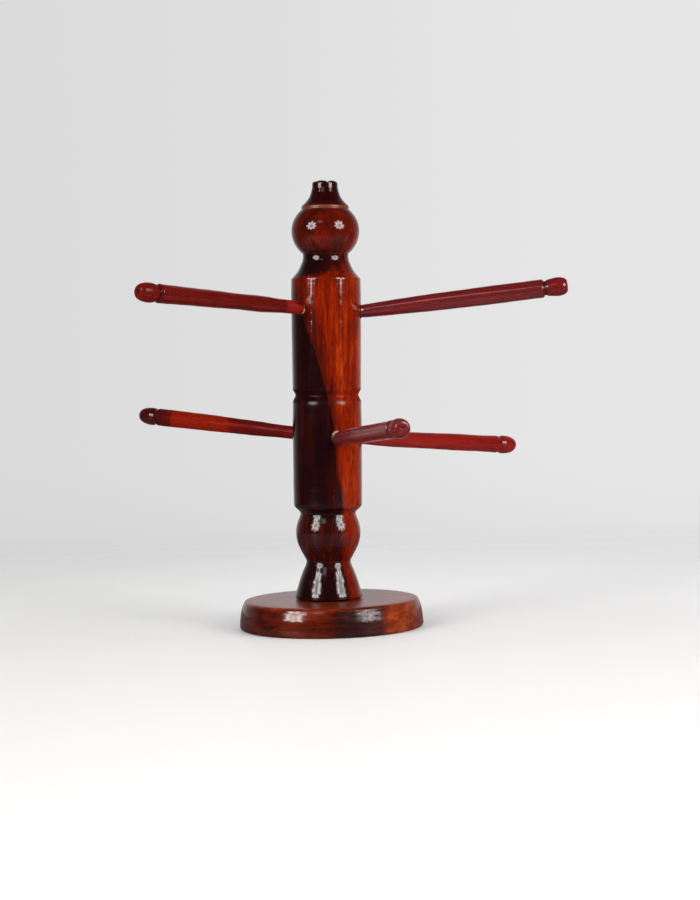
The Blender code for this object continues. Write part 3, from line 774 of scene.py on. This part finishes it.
def make_bead(name, peg, seed, pale_at, pale_width):
    """The ring of glue and lacquer round a peg's root. Its foot follows the barrel and its top the peg.
    pale_at is where it dried pale, in degrees round the peg, from its right side up over its top."""
    rng = np.random.default_rng(seed + 40)
    placed, along, across, third = aim(peg)
    steps = 120
    phases = rng.uniform(0, 2 * math.pi, 4)
    verts, pale = [], []
    centre = Vector((0, 0, peg["height"] * MM))
    root = peg["shaft"][0]

    def on_barrel(radius, t, lift):
        """Where a line along the peg, radius from its axis, comes out of the barrel, plus lift."""
        offset = (across * math.cos(t) + third * math.sin(t)) * radius * MM
        barrel = BARREL_RADIUS * MM
        px, py = offset.x, offset.y
        dx, dy = along.x, along.y
        a = dx * dx + dy * dy
        b = px * dx + py * dy
        c = px * px + py * py - barrel * barrel
        s = (-b + math.sqrt(b * b - a * c)) / a
        return centre + offset + along * (s + lift * MM)

    section = 6
    for k in range(steps):
        t = 2 * math.pi * k / steps
        size = 0.62 + 0.16 * math.sin(2 * t + phases[0]) + 0.10 * math.sin(5 * t + phases[1]) + 0.05 * math.sin(9 * t + phases[2])
        gap = 0.0
        if pale_at is not None:
            away = (math.degrees(t) - pale_at + 180) % 360 - 180
            gap = math.exp(-((away / pale_width) ** 4))
            size += 0.15 * gap
        inner = root - 0.45
        ring = [on_barrel(inner, t, -0.9), on_barrel(root + size + 0.05, t, -0.35)]
        for q in range(section):
            u = 0.5 * math.pi * q / (section - 1)
            # A hollow fillet from the barrel up on to the peg.
            radius = root + 0.03 + size * (1 - math.sin(u))
            lift = 0.02 + size * 1.05 * (1 - math.cos(u))
            ring.append(on_barrel(radius, t, lift))
        ring.append(on_barrel(inner, t, size * 0.8))
        verts += ring
        pale += [gap] * len(ring)
    width = section + 3
    faces = []
    for k in range(steps):
        k2 = (k + 1) % steps
        for q in range(width):
            q2 = (q + 1) % width
            faces.append((k * width + q, k * width + q2, k2 * width + q2, k2 * width + q))
    mesh = bpy.data.meshes.new(name)
    mesh.from_pydata([tuple(v) for v in verts], [], faces)
    bm = bmesh.new()
    bm.from_mesh(mesh)
    if bm.calc_volume(signed=True) < 0:
        bmesh.ops.reverse_faces(bm, faces=bm.faces)
    bm.to_mesh(mesh)
    bm.free()
    mesh.shade_smooth()
    attribute = mesh.attributes.new("pale", "FLOAT", "POINT")
    attribute.data.foreach_set("value", np.array(pale, np.float32))
    obj = bpy.data.objects.new(name, mesh)
    bpy.context.scene.collection.objects.link(obj)
    obj.matrix_world = STANDING
    return obj


def drill(target, matrices):
    """Cuts the peg holes out of the post and keeps the result as its mesh."""
    cutters = []
    for i, matrix in enumerate(matrices):
        cutter = lathe(
            f"drill_{i}",
            [(0.0, PEG_HOLE_END), (PEG_HOLE_RADIUS, PEG_HOLE_END), (PEG_HOLE_RADIUS, 40.0), (0.0, 40.0)],
            48,
        )
        cutter.matrix_world = matrix
        modifier = target.modifiers.new(f"drill_{i}", "BOOLEAN")
        modifier.operation = "DIFFERENCE"
        modifier.solver = "EXACT"
        modifier.object = cutter
        cutters.append(cutter)
    graph = bpy.context.evaluated_depsgraph_get()
    mesh = bpy.data.meshes.new_from_object(target.evaluated_get(graph), depsgraph=graph)
    target.modifiers.clear()
    old = target.data
    target.data = mesh
    bpy.data.meshes.remove(old)
    for cutter in cutters:
        old = cutter.data
        bpy.data.objects.remove(cutter)
        bpy.data.meshes.remove(old)
    target.data.set_sharp_from_angle(angle=math.radians(50))


# ------------------------------------------------------------------ build and dress
red = dict(dark=(0.060, 0.0026, 0.0016), mid=(0.118, 0.0046, 0.0026), light=(0.170, 0.0075, 0.0042))
LOOKS = {
    "peg_upper_left": dict(**red, seed=11, rings=0.5, dull=0.12, knob_dull=0.22, knob_film=0.30, root_film=0.25,
        patch=(0.020, 0.046, (0.235, 0.0120, 0.0090))),
    "peg_upper_right": dict(
        dark=(0.075, 0.0040, 0.0044), mid=(0.125, 0.0058, 0.0062), light=(0.175, 0.0085, 0.0084), seed=12,
        dull=0.155, rings=0.7, ring_pitch=420, film_ior=1.95, knob_film=0.45,
    ),
    "peg_upper_rear": dict(**red, seed=13),
    "peg_lower_left": dict(
        dark=(0.060, 0.0028, 0.0022), mid=(0.110, 0.0045, 0.0034), light=(0.155, 0.0075, 0.0045), seed=14,
        patch=(0.092, 0.152, (0.225, 0.0092, 0.0010)), end_dark=0.8, dull=0.20, knob_dull=0.07, film=0.20,
    ),
    "peg_lower_front": dict(
        dark=(0.085, 0.0085, 0.0095), mid=(0.140, 0.0130, 0.0145), light=(0.190, 0.0190, 0.0200), seed=15,
        dull=0.19, rings=1.4, knob_dull=0.08, knob_film=0.8,
    ),
    "peg_lower_right": dict(
        dark=(0.130, 0.0060, 0.0045), mid=(0.225, 0.0095, 0.0062), light=(0.290, 0.0155, 0.0080), seed=16, dull=0.14,
        rings=0.25, neck_shade_amount=0.45, film=0.7,
    ),
}
BEADS = {
    "peg_upper_left": (1, -35.0, 34.0),
    "peg_upper_right": (2, None, 0.0),
    "peg_upper_rear": (3, 250.0, 25.0),
    "peg_lower_left": (4, None, 0.0),
    "peg_lower_front": (5, 118.0, 30.0),
    "peg_lower_right": (6, None, 0.0),
}

post.matrix_world = STANDING
drill(post, [aim(peg)[0] for peg in PEGS.values()])
post.data.materials.clear()
post.data.materials.append(post_wood())
base.data.materials.append(base_wood())
bead_material = bead_finish()

for piece, node, slot in ((post, "post", "post_wood"), (base, "base", "base_wood")):
    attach(piece, "root")
    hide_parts(node)

for name, peg in PEGS.items():
    look = LOOKS[name]
    piece = make_peg(name, peg, look["seed"])
    piece.matrix_world = aim(peg)[0]
    piece.data.materials.append(peg_wood("lacquered_" + name, peg["length"] * MM, **look))
    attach(piece, "root")
    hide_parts(name)
    seed, pale_at, pale_width = BEADS[name]
    bead = make_bead("root_bead_" + name[4:], peg, seed, pale_at, pale_width)
    bead.data.materials.append(bead_material)
    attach(bead, "root")

# ------------------------------------------------------------------ stage
def flat(name, colour, roughness):
    g = Graph(name)
    g.shader.inputs["Base Color"].default_value = (*colour, 1.0)
    g.shader.inputs["Roughness"].default_value = roughness
    g.shader.inputs["Specular IOR Level"].default_value = 0.25
    return g


floor_mesh = bpy.data.meshes.new("table_top")
bm = bmesh.new()
bmesh.ops.create_circle(bm, cap_ends=True, segments=96, radius=3.0)
bm.to_mesh(floor_mesh)
bm.free()
floor = bpy.data.objects.new("table_top", floor_mesh)
bpy.context.scene.collection.objects.link(floor)
g = flat("table_sheet", (0.80, 0.80, 0.805), 0.55)
where = g.node("ShaderNodeTexCoord").outputs["Object"]
w_x, w_y, w_z = g.split(where)
deep = g.math("ADD", g.math("MAXIMUM", w_y, 0.0), g.math("MULTIPLY", g.math("MINIMUM", w_y, 0.0), 0.2))
reach = g.math("SQRT", g.math("ADD", g.math("MULTIPLY", deep, deep), g.math("MULTIPLY", g.math("MULTIPLY", w_x, w_x), 0.12)))
gone = g.fit(reach, 0.25, 0.92)
gone = g.math("MAXIMUM", gone, g.node("ShaderNodeNewGeometry").outputs["Backfacing"])
# No sheet under the base, so the underside can be seen from below.
away = g.node("ShaderNodeVectorMath", {0: where}, operation="LENGTH").outputs["Value"]
gone = g.math("MAXIMUM", gone, g.fit(away, 0.0690, 0.0685))
# Painted reflection: for mirror rays the sheet in front of the stand is coloured dark, so mirrored in the lacquer the
# table looks dark there.
in_gloss = g.node("ShaderNodeLightPath").outputs["Is Glossy Ray"]
front = g.fit(g.split(where)[1], 1.2, 0.3)
# Painted light and shade: the sheet is coloured darker to the left and lighter towards the back, standing in for how
# the lamps light it.
pale = g.mix(g.fit(w_x, -0.30, 0.02), (0.735, 0.738, 0.738), (0.81, 0.81, 0.815))
lift = g.fit(w_y, -0.02, 0.22, 1.0, 1.09)
pale = g.mix(1.0, pale, g.node("ShaderNodeCombineColor", {0: lift, 1: lift, 2: lift}).outputs[0], "MULTIPLY")
mirrored = g.mix(g.fit(away, 0.50, 1.0), (0.13, 0.12, 0.13), (0.025, 0.023, 0.025))
g.put(g.shader.inputs["Base Color"], g.mix(g.math("MULTIPLY", in_gloss, front), pale, mirrored))
clear = g.node("ShaderNodeBsdfTransparent")
blend = g.node("ShaderNodeMixShader", {0: gone, 1: g.shader.outputs[0], 2: clear.outputs[0]})
g.tree.links.new(blend.outputs[0], g.out.inputs[0])
floor_mesh.materials.append(g.material)

# Two white umbrellas with eight gores each, in front and to either side. Each gore glows along its middle and
# fades at the ribs; the dish behind them glows a little.
UMBRELLA_POWER = 15.0
ROOM_FRONT = 0.03
ROOM_BACK = 0.80
ROOM_MATT = 0.75


def umbrella(name, azimuth, elevation, distance, radius, turn, centre, power):
    lamp = bpy.data.materials.new(name)
    lamp.use_nodes = True
    g = Graph.__new__(Graph)
    g.material, g.tree = lamp, lamp.node_tree
    g.tree.nodes.clear()
    at = g.node("ShaderNodeTexCoord").outputs["Object"]
    x, y, z = g.split(at)
    reach = g.math("DIVIDE", g.node("ShaderNodeVectorMath", {0: at}, operation="LENGTH").outputs["Value"], radius)
    angle = g.math("DIVIDE", g.math("ADD", g.math("ARCTAN2", y, x), math.radians(turn) + 8 * math.pi), math.radians(45))
    off_gore = g.math("MULTIPLY", g.math("ABSOLUTE", g.math("SUBTRACT", g.math("FRACT", angle), 0.5)), 2.0)
    # A gore narrows to its scalloped tip.
    width = g.fit(reach, 0.45, 1.0, 0.86, 0.20)
    gore = g.fit(g.math("SUBTRACT", off_gore, width), 0.04, -0.26)
    gore = g.math("MULTIPLY", gore, g.fit(reach, 0.16, 0.46))
    gore = g.math("MULTIPLY", gore, g.fit(reach, 1.0, 0.88))
    dish = g.math("MULTIPLY", g.fit(reach, 0.88, 0.45), centre)
    glow = g.math("MULTIPLY", g.math("MAXIMUM", gore, dish), power)
    glow = g.math("MULTIPLY", glow, g.fit(y, -radius, -0.72 * radius, 0.08, 1.0))
    emit = g.node("ShaderNodeEmission", {"Strength": glow, "Color": (1.0, 0.975, 0.955)})
    clear = g.node("ShaderNodeBsdfTransparent")
    # Nothing is seen from behind or outside the gores.
    lit = g.math("MULTIPLY", g.math("GREATER_THAN", glow, 0.02), g.math("SUBTRACT", 1.0, g.node("ShaderNodeNewGeometry").outputs["Backfacing"]))
    blend = g.node("ShaderNodeMixShader", {0: lit, 1: clear.outputs[0], 2: emit.outputs[0]})
    out = g.node("ShaderNodeOutputMaterial")
    g.tree.links.new(blend.outputs[0], out.inputs[0])

    bm = bmesh.new()
    bmesh.ops.create_circle(bm, cap_ends=True, segments=48, radius=radius)
    mesh = bpy.data.meshes.new(name)
    bm.to_mesh(mesh)
    bm.free()
    obj = bpy.data.objects.new(name, mesh)
    bpy.context.scene.collection.objects.link(obj)
    a, e = math.radians(azimuth), math.radians(elevation)
    out_dir = Vector((math.sin(a) * math.cos(e), -math.cos(a) * math.cos(e), math.sin(e)))
    obj.location = Vector((0.0, 0.0, 0.22)) + out_dir * distance
    obj.rotation_mode = "QUATERNION"
    obj.rotation_quaternion = (-out_dir).to_track_quat("Z", "Y")
    mesh.materials.append(lamp)
    obj.visible_camera = False
    return obj


umbrella("umbrella_left", -48.0, 20.0, 1.7, 0.565, 22.5, 0.30, UMBRELLA_POWER)
umbrella("umbrella_right", 51.5, 19.8, 1.7, 0.580, 22.5, 0.38, 0.94 * UMBRELLA_POWER)

# A low ceiling panel, further off, that only shows as a thin glint along the tops of the pegs.
panel_mesh = bpy.data.meshes.new("ceiling_panel")
bm = bmesh.new()
bmesh.ops.create_grid(bm, x_segments=1, y_segments=1, size=0.5)
bm.to_mesh(panel_mesh)
bm.free()
panel = bpy.data.objects.new("ceiling_panel", panel_mesh)
bpy.context.scene.collection.objects.link(panel)
g = Graph.__new__(Graph)
g.material = bpy.data.materials.new("ceiling_panel")
g.material.use_nodes = True
g.tree = g.material.node_tree
g.tree.nodes.clear()
emit = g.node("ShaderNodeEmission", {"Strength": 1.7, "Color": (1.0, 0.93, 0.95)})
g.tree.links.new(emit.outputs[0], g.node("ShaderNodeOutputMaterial").inputs[0])
panel_mesh.materials.append(g.material)
a, e = math.radians(-19.0), math.radians(34.5)
panel_dir = Vector((math.sin(a) * math.cos(e), -math.cos(a) * math.cos(e), math.sin(e)))
panel.location = Vector((0.0, 0.0, 0.25)) + panel_dir * 1.7
panel.rotation_mode = "QUATERNION"
panel.rotation_quaternion = (-panel_dir).to_track_quat("Z", "Y")
panel.scale = (0.44, 0.23, 1.0)
panel.visible_camera = False

# The room: white sweep behind and beside the stand, unlit room in front and above. What the camera sees
# directly is the plain sweep. Matt surfaces also get the light bounced down from the ceiling.
world = bpy.data.worlds.new("studio")
bpy.context.scene.world = world
world.use_nodes = True
tree = world.node_tree
tree.nodes.clear()


def world_range(value, low, high, out_low, out_high):
    made = tree.nodes.new("ShaderNodeMapRange")
    made.interpolation_type = "SMOOTHSTEP"
    for i, v in enumerate((low, high, out_low, out_high), 1):
        made.inputs[i].default_value = v
    tree.links.new(value, made.inputs[0])
    return made.outputs[0]


def world_math(operation, a, b):
    made = tree.nodes.new("ShaderNodeMath")
    made.operation = operation
    for i, v in enumerate((a, b)):
        if isinstance(v, bpy.types.NodeSocket):
            tree.links.new(v, made.inputs[i])
        else:
            made.inputs[i].default_value = v
    return made.outputs[0]


coords = tree.nodes.new("ShaderNodeTexCoord")
axes = tree.nodes.new("ShaderNodeSeparateXYZ")
tree.links.new(coords.outputs["Generated"], axes.inputs[0])
away_x, away_y, away_z = axes.outputs
path = tree.nodes.new("ShaderNodeLightPath")

# Mirror rays: bright behind and low at the sides, dark in front.
behind = world_math("POWER", world_math("MAXIMUM", away_y, 0.0), 2.6)
behind = world_math("ADD", world_math("MULTIPLY", behind, ROOM_BACK), ROOM_FRONT)
ceiling = world_range(away_z, 0.95, 0.35, 0.30, 1.0)
mirrored = world_math("MULTIPLY", behind, ceiling)
# Matt rays: an even, slightly overhead glow.
matt = world_range(away_z, -0.2, 0.9, 0.42, ROOM_MATT)
# Camera rays: the sweep, a little darker to the left and just above the table's far edge.
sweep = world_range(away_x, -0.20, 0.18, 0.705, 0.800)
dusk = world_range(away_z, -0.125, -0.045, 0.925, 1.0)
plain = world_math("MULTIPLY", sweep, dusk)

inner = tree.nodes.new("ShaderNodeMix")
tree.links.new(path.outputs["Is Diffuse Ray"], inner.inputs[0])
tree.links.new(mirrored, inner.inputs[2])
tree.links.new(matt, inner.inputs[3])
outer = tree.nodes.new("ShaderNodeMix")
tree.links.new(path.outputs["Is Camera Ray"], outer.inputs[0])
tree.links.new(inner.outputs[0], outer.inputs[2])
tree.links.new(plain, outer.inputs[3])
glow = tree.nodes.new("ShaderNodeBackground")
glow.inputs[0].default_value = (1.0, 1.0, 1.0, 1.0)
tree.links.new(outer.outputs[0], glow.inputs[1])
w_out = tree.nodes.new("ShaderNodeOutputWorld")
tree.links.new(glow.outputs[0], w_out.inputs[0])

# ------------------------------------------------------------------ camera
camera = bpy.data.cameras.new("camera")
camera.lens = 80.0
camera.sensor_width = 36.0
camera.clip_start = 0.05
camera.clip_end = 50.0
viewer = bpy.data.objects.new("camera", camera)
bpy.context.scene.collection.objects.link(viewer)
yaw, pitch, roll = math.radians(-0.411), math.radians(2.594), math.radians(0.543)
ahead = Vector((math.sin(yaw) * math.cos(pitch), math.cos(yaw) * math.cos(pitch), -math.sin(pitch)))
right = Vector((math.cos(yaw), -math.sin(yaw), 0.0))
up = right.cross(ahead)
level_right = right * math.cos(roll) - up * math.sin(roll)
level_up = right * math.sin(roll) + up * math.cos(roll)
turned = Matrix((level_right, level_up, -ahead)).transposed().to_4x4()
viewer.matrix_world = STANDING @ Matrix.Translation((0.0295, -1.6, 0.2145)) @ turned
bpy.context.scene.camera = viewer
bpy.context.scene.view_settings.view_transform = "Standard"
